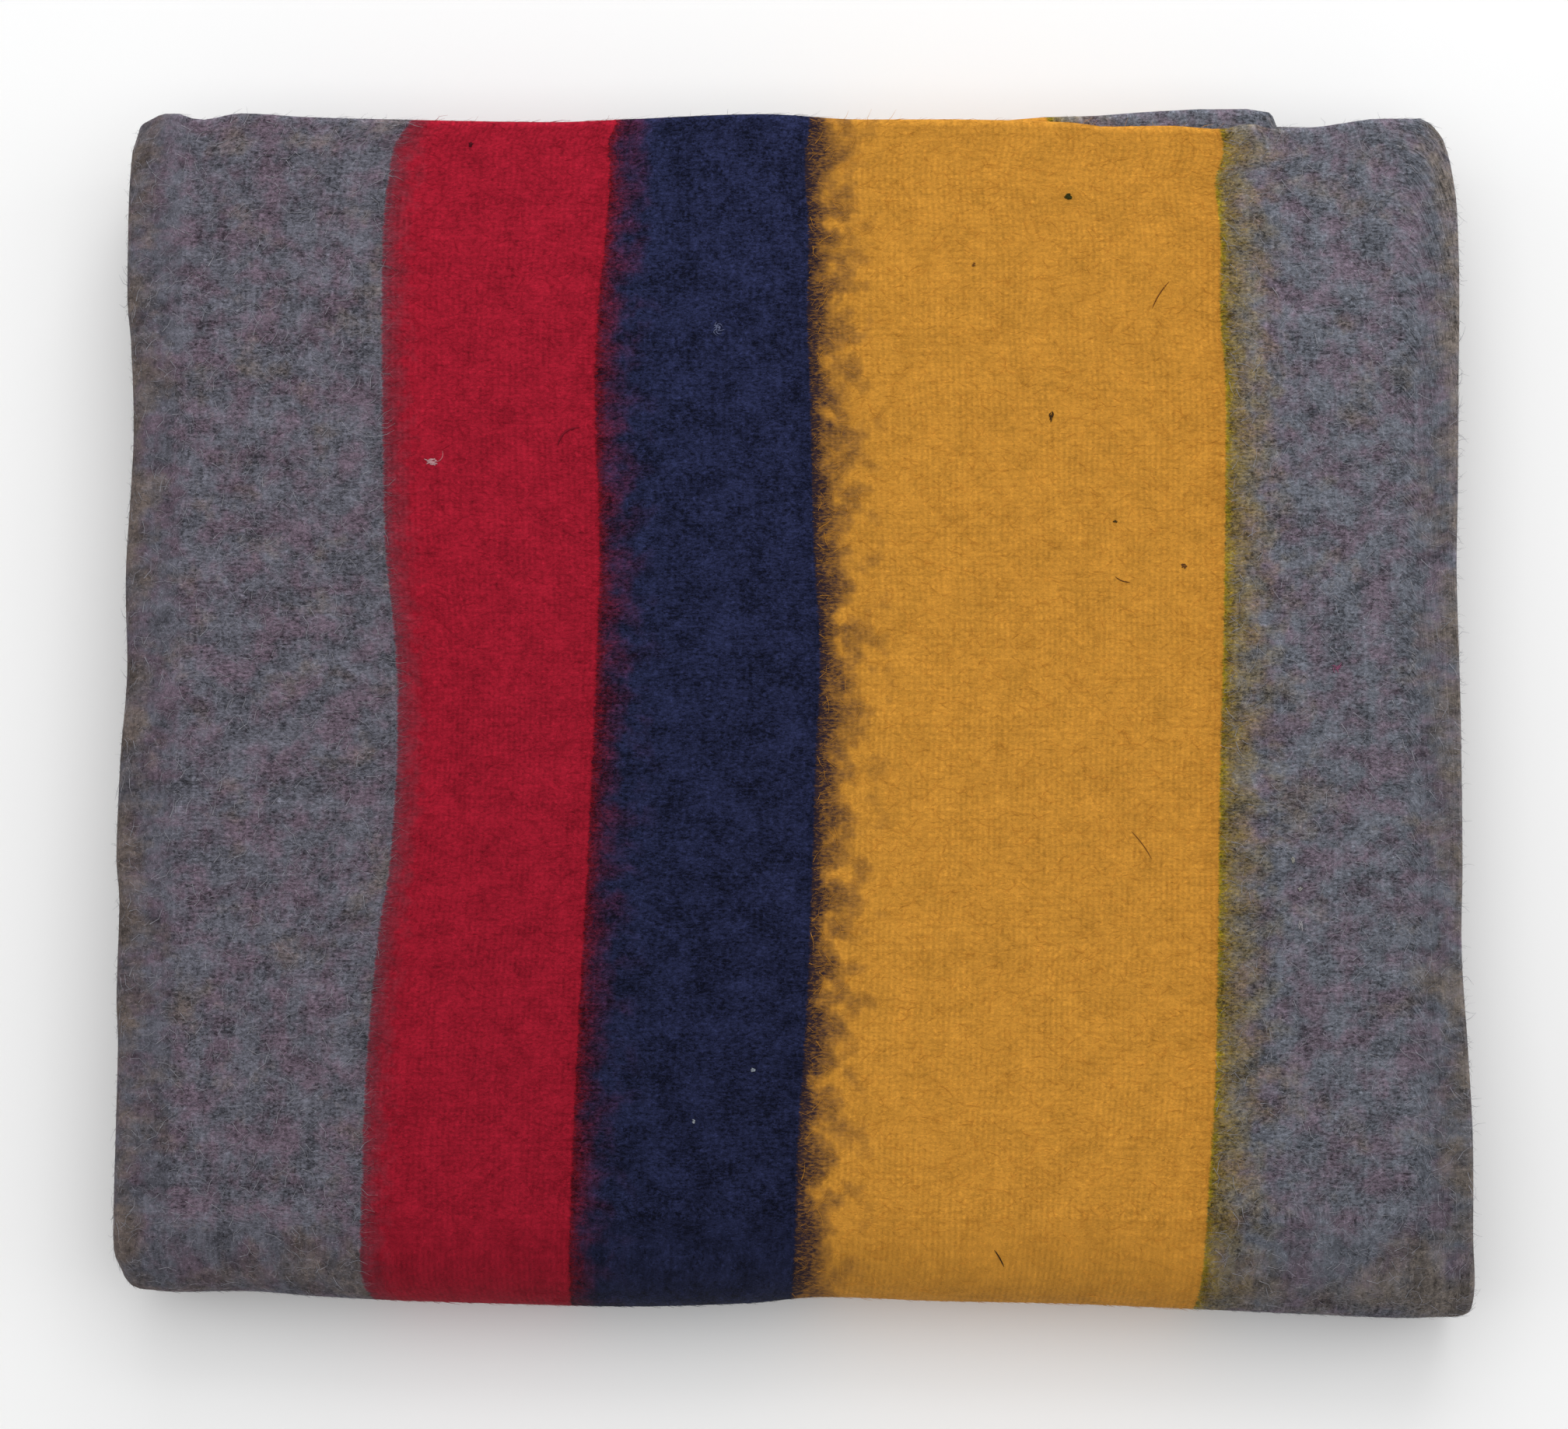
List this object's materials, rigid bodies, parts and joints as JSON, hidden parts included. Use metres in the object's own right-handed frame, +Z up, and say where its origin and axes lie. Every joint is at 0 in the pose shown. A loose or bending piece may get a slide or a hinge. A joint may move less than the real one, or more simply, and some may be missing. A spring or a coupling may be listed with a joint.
{
  "type": "folded wool blanket",
  "caption": "Thick napped wool blanket in heather grey with red, navy and golden yellow stripes, quartered both ways into a soft flat stack that rests on its lowest layer.",
  "frame": {"origin": "middle of the folded footprint, on the surface that the blanket rests on", "axes": "+X across the stripes, from the folded side to the hems; +Y along the stripes, from the thick front fold to the cut edges at the back; +Z up through the layers"},
  "size_m": [0.523, 0.4704, 0.0679],
  "materials": {
    "napped_wool": "matte napped wool"
  },
  "bodies": {
    "root": {"blanket": "napped_wool"}
  },
  "joints": []
}
